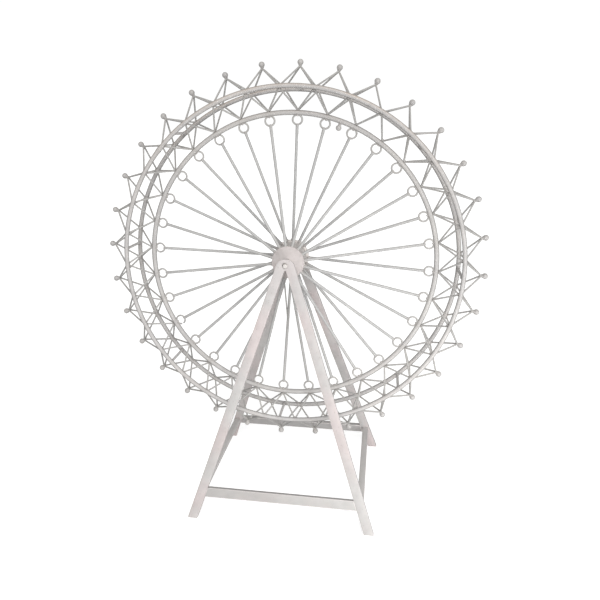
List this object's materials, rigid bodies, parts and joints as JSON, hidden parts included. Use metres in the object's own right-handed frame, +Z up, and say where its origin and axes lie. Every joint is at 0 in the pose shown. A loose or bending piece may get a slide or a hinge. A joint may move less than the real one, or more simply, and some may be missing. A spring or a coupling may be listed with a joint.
{
  "type": "tabletop ferris wheel model",
  "caption": "Painted metal ferris wheel model: a laced wire rim on a spoked spool hub turns on an axle between two splayed A-frames.",
  "frame": {"origin": "on the floor, midway between the feet and below the middle of the wheel", "axes": "+Z up; Y along the axle, with -Y towards the front A-frame; +X to the right seen from the front"},
  "size_m": [0.6686, 0.2922, 0.7623],
  "materials": {
    "stand_paint": "satin off-white paint, slightly uneven",
    "hub_paint": "satin off-white paint",
    "hoop_paint": "satin off-white paint, warm and worn on top of the hoops",
    "wire_paint": "satin off-white paint on thin wire",
    "spoke_paint": "satin off-white paint on round rod",
    "axle_steel": "painted rod end, rubbed"
  },
  "bodies": {
    "stand": {"front_head": "stand_paint", "back_head": "stand_paint", "front_left_leg": "stand_paint", "front_right_leg": "stand_paint", "back_left_leg": "stand_paint", "back_right_leg": "stand_paint", "front_cross_bar": "stand_paint", "back_cross_bar": "stand_paint", "left_side_bar": "stand_paint", "right_side_bar": "stand_paint", "axle": "axle_steel"},
    "wheel": {"hub_tube": "hub_paint", "hub_drum": "hub_paint", "front_spoke_set": "spoke_paint", "back_spoke_set": "spoke_paint", "front_hoop": "hoop_paint", "back_hoop": "hoop_paint", "inner_hoop": "hoop_paint", "hoop_tie_1": "hoop_paint", "hoop_tie_2": "hoop_paint", "hoop_tie_3": "hoop_paint", "hoop_tie_4": "hoop_paint", "hoop_tie_5": "hoop_paint", "hoop_tie_6": "hoop_paint", "hoop_tie_7": "hoop_paint", "hoop_tie_8": "hoop_paint", "crown_1": "wire_paint", "crown_2": "wire_paint", "crown_3": "wire_paint", "crown_4": "wire_paint", "crown_5": "wire_paint", "crown_6": "wire_paint", "crown_7": "wire_paint", "crown_8": "wire_paint", "web_1": "wire_paint", "web_2": "wire_paint", "web_3": "wire_paint", "web_4": "wire_paint", "web_5": "wire_paint", "web_6": "wire_paint", "web_7": "wire_paint", "web_8": "wire_paint"}
  },
  "joints": [
    {"name": "wheel_spin", "type": "hinge", "parent": "stand", "child": "wheel", "pos_m": [0, 0, 0.428], "axis": [0, 1, 0], "continuous": true}
  ]
}
